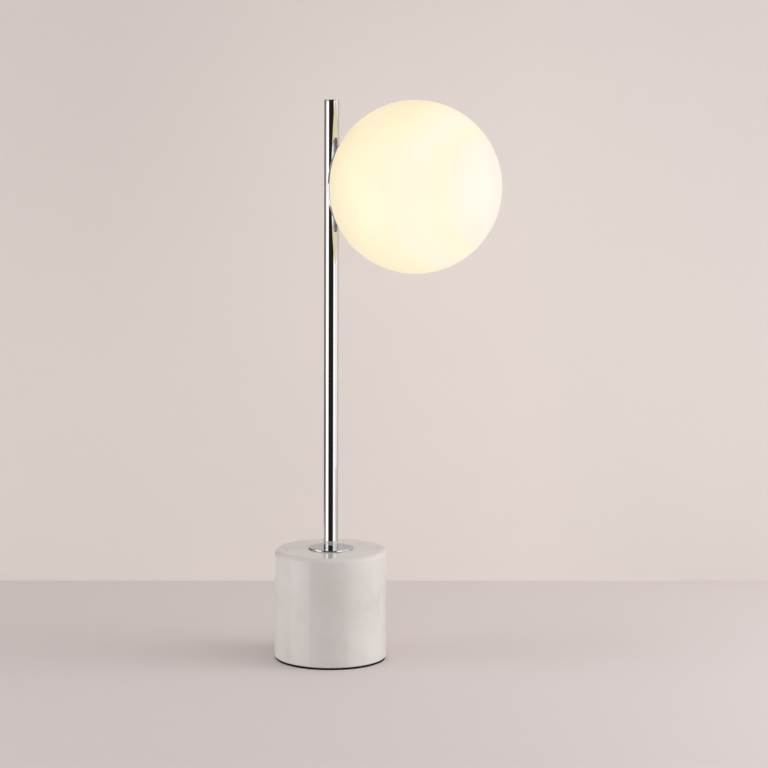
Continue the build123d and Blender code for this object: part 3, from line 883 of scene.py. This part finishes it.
def holder_dome():
    """The holder's rear half, a thin-walled cup with a rounded shoulder."""
    back, front = ends("holder_dome", ALONG_X)
    inside, shoulder = holder_radius - HOLDER_WALL, 3.0 * MM
    section = softened(
        (back, THREAD_HOLE, HAIR),
        (back, holder_radius, shoulder),
        (front, holder_radius, 0.25 * MM),
        (front, inside, HAIR),
        (back + shoulder, inside, 1.0 * MM),
        (back + shoulder, THREAD_HOLE, HAIR),
        steps=14,
    )
    dress(turned("holder_cup", section, about="arm"), "holder_dome")


def holder_skirt():
    """The holder's front half: a sleeve with a ledge inside and shallow grip flutes round it.

    A flute is its depth x ((1 + cos(count x angle)) / 2) squared. Smooth steps fade it along the sleeve,
    whose front is plain.
    """
    count, depth, fade, plain = 40, 0.35 * MM, 1.5 * MM, 9.0 * MM
    back, front = ends("holder_skirt", ALONG_X)
    inside = holder_radius - HOLDER_WALL
    ledge_front = low("screw_shell", ALONG_X) + 1.0 * MM
    ledge_back, ledge_bore = ledge_front - 2.0 * MM, 10.0 * MM
    rim = softened(
        (back, inside, HAIR),
        (back, holder_radius, 0.25 * MM),
        (front, holder_radius, 0.6 * MM),
        (front, inside, 0.6 * MM),
        (ledge_front, inside, HAIR),
        (ledge_front, ledge_bore, HAIR),
        (ledge_back, ledge_bore, HAIR),
        (ledge_back, inside, HAIR),
    )
    outside = np.flatnonzero(rim[:, 1] >= holder_radius - TINY)
    wall = ladder(rim[outside[1]], rim[outside[-2]], 40)
    section = np.vstack([rim[: outside[1]], wall, rim[outside[-2] + 1 :]])

    def flutes(along, radius, angle):
        t = np.clip(np.minimum(along - back - fade, front - plain - along) / fade, 0, 1)
        wave = (0.5 + 0.5 * np.cos(count * angle)) ** 2
        cut = depth * wave * t * t * (3 - 2 * t)
        return along, radius - np.where(radius >= holder_radius - TINY, cut, 0)

    dress(turned("holder_skirt_sleeve", section, about="arm", steps=480, reshape=flutes), "holder_skirt")


CAP_PITCH = 2.82 * MM


def screw_shell():
    """The thin brass shell the bulb screws into, the outside of its wall rolled to the bulb's thread."""
    start, end = ends("screw_shell", ALONG_X)
    outer, wall, depth = half("screw_shell", UPWARD), 0.4 * MM, 0.22 * MM
    section = np.vstack(
        [
            ladder((start, outer), (end, outer), 150),
            ladder((end, outer - wall), (start, outer - wall), 150),
        ]
    )

    def roll(along, radius, angle):
        ridge = screw_ridge(along, angle, start, end, CAP_PITCH)
        return along, radius - depth * ridge * (radius > outer - HAIR)

    dress(turned("rolled_shell", section, about="arm", steps=96, reshape=roll), "screw_shell")


nipple()
locknut()
holder_dome()
holder_skirt()
screw_shell()

# --- Bulb ---

insulator_back, insulator_front = low("bulb_insulator", ALONG_X), low("bulb_screw_cap", ALONG_X)
cap_front = high("bulb_screw_cap", ALONG_X)
cap_bore = half("bulb_insulator", UPWARD)
cap_crest = half("bulb_screw_cap", UPWARD)
BULB_WALL = 1.5 * MM
mouth_radius = half("bulb_led_board", UPWARD) + 0.05 * MM + BULB_WALL
bulb_mouth = high("bulb_housing", ALONG_X)


def tip_contact():
    """The solder button at the bulb's foot, domed, on its pin."""
    back, front = ends("bulb_tip_contact", ALONG_X)
    button, pin = 2.4 * MM, 1.0 * MM
    section = softened(
        (back, FINE_HUB, 0),
        (back, button, 0.5 * MM),
        (insulator_back, button, HAIR),
        (insulator_back, pin, 0),
        (front, pin, HAIR),
        (front, FINE_HUB, 0),
        looped=False,
    )
    dress(turned("solder_button", section, about="arm", looped=False, steps=72), "bulb_tip_contact")


def insulator():
    """The black glass cone round the tip, with its blind hole for the tip's pin."""
    front, pin_hole, tip = high("bulb_insulator", ALONG_X), 1.08 * MM, 2.9 * MM
    hole_end = high("bulb_tip_contact", ALONG_X) + 0.3 * MM
    section = softened(
        (hole_end, FINE_HUB, 0),
        (hole_end, pin_hole, 0),
        (insulator_back, pin_hole, 0),
        (insulator_back, tip, 0.4 * MM),
        (insulator_front, cap_bore, 0.3 * MM),
        (front, cap_bore, HAIR),
        (front, FINE_HUB, 0),
        looped=False,
    )
    dress(turned("black_insulator_cone", section, about="arm", looped=False), "bulb_insulator")


def screw_cap():
    """The rolled brass cap, its wall a true screw thread that ends in a plain collar."""
    root, collar_run = 6.5 * MM, 1.2 * MM
    thread_end = cap_front - collar_run
    section = np.vstack(
        [
            ladder((insulator_front + 0.1 * MM, root), (thread_end, root), 180),
            ladder((thread_end + 0.3 * MM, root), (cap_front - 0.1 * MM, root), 4),
            ladder((cap_front, root - 0.1 * MM), (cap_front, cap_bore + 0.05 * MM), 2),
            ladder((cap_front - 0.1 * MM, cap_bore), (insulator_front + 0.1 * MM, cap_bore), 12),
            ladder((insulator_front, cap_bore + 0.05 * MM), (insulator_front, root - 0.1 * MM), 2),
        ]
    )

    def roll(along, radius, angle):
        ridge = screw_ridge(along, angle, insulator_front, thread_end, CAP_PITCH)
        return along, radius + (cap_crest - root) * ridge * (radius > root - 0.05 * MM)

    dress(turned("rolled_cap", section, about="arm", steps=96, reshape=roll), "bulb_screw_cap")


def housing():
    """The bulb's white cone from the cap to the dome's mouth, closed at the cap end."""
    neck, wall = 8.0 * MM, BULB_WALL
    start = low("bulb_housing", ALONG_X)
    shoulder = cap_front + wall
    board_back = low("bulb_led_board", ALONG_X)
    section = np.vstack(
        [
            ladder((start, FINE_HUB), (start, cap_bore - HAIR), 3),
            ladder((start + HAIR, cap_bore), (cap_front, cap_bore), 3),
            ladder((cap_front, cap_bore + HAIR), (cap_front, neck - 0.2 * MM), 3),
            ladder((cap_front + 0.2 * MM, neck), (shoulder - 0.1 * MM, neck), 3),
            ladder((shoulder, neck), (bulb_mouth, mouth_radius), 40),
            ladder((bulb_mouth, mouth_radius - HAIR), (bulb_mouth, mouth_radius - wall), 3),
            ladder((board_back, mouth_radius - wall), (board_back, mouth_radius - 2 * wall), 2),
            ladder((cap_front + 2 * wall, neck - wall), (cap_front + 2 * wall, FINE_HUB), 2),
        ]
    )
    dress(turned("white_housing", section, about="arm", looped=False), "bulb_housing")


def frosted_dome():
    """The bulb's dome: two arcs about its centre, one wall apart, joined by a flat edge at its mouth."""
    crown_hub = 0.2 * MM
    reach = bulb_centre - bulb_mouth
    walls = []
    for radius, count in ((bulb_radius, 90), (bulb_radius - BULB_WALL, 60)):
        walls.append(arc(bulb_centre, radius, crown_hub / radius, pi - np.arccos(reach / radius), count))
    section = np.vstack([walls[0], walls[1][::-1]])
    dress(turned("frosted_dome", section, about="arm", looped=False), "bulb_diffuser")


tip_contact()
insulator()
screw_cap()
housing()
frosted_dome()

# --- Camera, seen along the photograph's direction ---

TURN = radians(27.0)
RIGHT = Vector((cos(TURN), sin(TURN), 0))
AWAY = Vector((-sin(TURN), cos(TURN), 0))


def seen(right, away, up):
    """A point given as right of, beyond and above the drum's foot, as the camera sees it."""
    return RIGHT * right + AWAY * away + UP * up


def add_camera():
    """The camera, 2 m away at the pole's height, looking down and rolled until the pole is upright."""
    pitch, roll, frame_pixels, focal_pixels = radians(6.88), radians(0.27), 768, 2260
    lens = bpy.data.cameras.new("camera")
    lens.sensor_width = 36.0
    lens.lens = lens.sensor_width * focal_pixels / frame_pixels
    camera = bpy.data.objects.new("camera", lens)
    bpy.context.scene.collection.objects.link(camera)
    camera.location = seen(0.0471, -2.0, 0.490)
    camera.rotation_euler = (AWAY * cos(pitch) - UP * sin(pitch)).to_track_quat("-Z", "Y").to_euler()
    camera.rotation_euler.rotate_axis("Z", roll)
    bpy.context.scene.camera = camera


add_camera()

# --- Floor, wall and light ---

WALL_DISTANCE = 0.334
WALL_SLANT = 0.0215
FLOOR_LEFT = (0.704, 0.645, 0.63)
FLOOR_RIGHT = (0.704, 0.643, 0.643)
# The wall's paint tones: painted shade high up and far to the right, a middle tone, and a painted glow of
# the lamp behind the arm.
WALL_PAINTED_SHADE = (0.645, 0.598, 0.58)
WALL_FAR = (0.71, 0.652, 0.622)
WALL_PAINTED_GLOW = (0.82, 0.757, 0.713)
FLOOR_REACH = 12
WALL_REACH = 3
WALL_TOP = 3


def sheet(name, paint, *corners):
    """A flat sheet of the stage, its front on the side that its corners run anticlockwise round."""
    mesh = bpy.data.meshes.new(name)
    mesh.from_pydata([tuple(corner) for corner in corners], [], [(0, 1, 2, 3)])
    mesh.materials.append(paint)
    item = bpy.data.objects.new(name, mesh)
    bpy.context.scene.collection.objects.link(item)
    return item


def matt_paint(name, tone, *stops):
    """Matt paint, very slightly uneven, and clear from behind so that it hides nothing from there."""
    paint, place = new_finish(name, stops[0][1], 0.9)
    nodes = paint.node_tree.nodes
    uneven = from_noise(paint, cloud(paint, place, 2.0), -0.06, 0.06)
    level = sum_of(paint, "ADD", tone(paint, place), uneven)
    look(paint, {"Base Color": tones(paint, level, *stops), "Specular IOR Level": 0.1})
    side = nodes.new("ShaderNodeNewGeometry")
    clear = nodes.new("ShaderNodeBsdfTransparent")
    mix = nodes.new("ShaderNodeMixShader")
    feed(paint, mix, side.outputs["Backfacing"], shader_of(paint).outputs[0], clear.outputs[0])
    fill(paint, nodes["Material Output"].inputs["Surface"], mix.outputs[0])
    return paint


def painted_wall_light(paint, place):
    """The wall's painted light: a painted glow of the lamp, exp(-(offset / spread) squared) round a point
    behind the arm, and two slopes of painted shade.

    The offset is worked out along the wall and upwards. The slopes paint the wall darker higher up and
    far to the right.
    """
    spot, spread_along, spread_up, painted_glow_height = seen(0.04, WALL_DISTANCE, 0.33), 0.17, 0.25, 0.28
    offset = vector_of(paint, "SUBTRACT", place, spot)
    along_wall = sum_of(paint, "DIVIDE", dot(paint, offset, RIGHT), spread_along)
    upward = sum_of(paint, "DIVIDE", dot(paint, offset, UP), spread_up)
    far = sum_of(paint, "ADD", squared(paint, along_wall), squared(paint, upward))
    # Painted glow of the lamp on the wall, brightest behind the arm.
    near = sum_of(paint, "EXPONENT", sum_of(paint, "MULTIPLY", far, -1.0))
    near = sum_of(paint, "MULTIPLY", near, painted_glow_height)
    # Painted shade: the wall darker higher up and far to the right.
    painted_shade_upward = mapped(paint, upward, -1.3, 1.6, 0.79, 0.37)
    painted_shade_rightward = mapped(paint, along_wall, 0.9, 2.3, 0, -0.43)
    return sum_of(paint, "ADD", near, sum_of(paint, "ADD", painted_shade_upward, painted_shade_rightward))


def along_floor(paint, place):
    """A slow change of the floor's tone from left to right."""
    return mapped(paint, dot(paint, place, RIGHT), -1.0, 1.0, 0.0, 1.0)


floor_paint = matt_paint("floor_paint", along_floor, (0.0, FLOOR_LEFT), (1.0, FLOOR_RIGHT))
wall_paint = matt_paint("wall_paint", painted_wall_light, (0.0, WALL_PAINTED_SHADE), (0.3, WALL_FAR), (1.0, WALL_PAINTED_GLOW))
edge = FLOOR_REACH
corners = [seen(-edge, -edge, 0), seen(edge, -edge, 0), seen(edge, edge, 0), seen(-edge, edge, 0)]
floor = sheet("floor", floor_paint, *corners)
floor.visible_glossy = False
slant = WALL_REACH * WALL_SLANT
left, right = (-WALL_REACH, WALL_DISTANCE - slant), (WALL_REACH, WALL_DISTANCE + slant)
sheet("wall", wall_paint, seen(*left, 0), seen(*right, 0), seen(*right, WALL_TOP), seen(*left, WALL_TOP))


def left_flag():
    """A grey flag behind the pole on the left, which only reflections see.

    It darkens the pole's left edge and the plate's reflection. Its lower edge slopes up towards the pole,
    to keep it out of the drum's polish.
    """
    paint = new_finish("flag_paint", (0.15, 0.138, 0.132), 0.9)[0]
    near, far, top = (-0.17, 0.3), (-1.2, 0.25), 0.8
    flag = sheet("left_flag", paint, seen(*far, 0), seen(*near, 0.05), seen(*near, top), seen(*far, top))
    flag.visible_camera = False
    flag.visible_diffuse = False
    flag.visible_transmission = False
    flag.visible_shadow = False


left_flag()


def soft_light(name, place, facing, width, height, brightness, in_gloss=True):
    """A flat soft light. Of power P and area A, it shows a brightness of P / (pi A)."""
    light = bpy.data.lights.new(name, "AREA")
    light.shape = "RECTANGLE"
    light.size, light.size_y = width, height
    light.energy = brightness * pi * width * height
    item = bpy.data.objects.new(name, light)
    bpy.context.scene.collection.objects.link(item)
    item.location = place
    item.rotation_euler = (-facing).to_track_quat("Z", "Y").to_euler()
    item.visible_camera = False
    item.visible_glossy = in_gloss


def softbox(name, bearing, distance, width, bottom, top, brightness, in_gloss=True):
    """An upright soft light facing the pole, at a bearing in degrees to the right of the camera."""
    outward = seen(sin(radians(bearing)), -cos(radians(bearing)), 0)
    place = outward * distance + UP * (top + bottom) / 2
    soft_light(name, place, -outward, width, top - bottom, brightness, in_gloss)


# Name, bearing, distance, width, bottom, top and brightness.
softbox("left_softbox", -63.5, 1.1, 0.867, -0.6, 0.53, 1.42)
softbox("right_softbox", 50, 1.1, 0.63, -0.6, 0.65, 1.22)
softbox("right_panel", 86, 0.9, 0.62, 0.03, 0.9, 0.82)
softbox("low_right_panel", 86, 0.9, 0.62, -0.5, 0.03, 0.55)
softbox("right_fill", 92, 2.4, 2.4, -1.0, 1.2, 3.84, in_gloss=False)
softbox("left_fill", -92, 2.4, 2.4, -1.0, 1.2, 3.55, in_gloss=False)
softbox("front_fill", 0, 2.6, 2.0, 1.2, 2.6, 0.6, in_gloss=False)
soft_light("top_light", seen(1.2, -0.2, 1.3), -UP, 1.0, 1.2, 1.25, in_gloss=False)

STUDIO_FILL = (0.463, 0.463, 0.463, 1)
BACKDROP = (0.70, 0.63, 0.59, 1)
STUDIO_DARK = (0.024, 0.019, 0.017)
STUDIO_FLOOR = (0.54, 0.49, 0.475)
STUDIO_HAZE = (0.33, 0.32, 0.31)
STUDIO_CEILING = (0.45, 0.44, 0.43)


def light_world():
    """Even fill on matt surfaces, the backdrop's colour beyond the stage, and a dim studio in gloss.

    In gloss the studio is grey, and dark within about 45 degrees of the side that the photograph is from.
    Its floor shows below 12 degrees down, or 14 in the dark part, and its pale ceiling comes in between
    24 and 37 degrees up. Heights are (upward direction + 1) / 2.
    """
    grey_floor_edge, dark_floor_edge, edge_width = 0.399, 0.38, 0.01
    ceiling_start, ceiling_end = 0.70, 0.80
    dark_edge, dark_full = 0.64, 0.76
    world = bpy.data.worlds.new("studio")
    world.use_nodes = True
    nodes = world.node_tree.nodes
    rays = nodes.new("ShaderNodeLightPath")
    direction = nodes.new("ShaderNodeTexCoord").outputs["Generated"]
    height = mapped(world, dot(world, direction, UP), -1.0, 1.0, 0.0, 1.0)

    def layers(tone, floor_edge):
        return tones(
            world,
            height,
            (floor_edge, STUDIO_FLOOR),
            (floor_edge + edge_width, tone),
            (ceiling_start, tone),
            (ceiling_end, STUDIO_CEILING),
        )

    def mixed(factor, first, second):
        node = nodes.new("ShaderNodeMix")
        node.data_type = "RGBA"
        fill(world, node.inputs[0], factor)
        fill(world, node.inputs[6], first)
        fill(world, node.inputs[7], second)
        return node.outputs[2]

    front = dot(world, direction, -AWAY)
    darkness = mapped(world, front, dark_edge, dark_full, 0.0, 1.0)
    grey, dark = layers(STUDIO_HAZE, grey_floor_edge), layers(STUDIO_DARK, dark_floor_edge)
    studio = mixed(darkness, grey, dark)
    lit = mixed(rays.outputs["Is Glossy Ray"], STUDIO_FILL, studio)
    feed(world, nodes["Background"], mixed(rays.outputs["Is Camera Ray"], lit, BACKDROP))
    bpy.context.scene.world = world


light_world()
bpy.context.scene.view_settings.view_transform = "Standard"
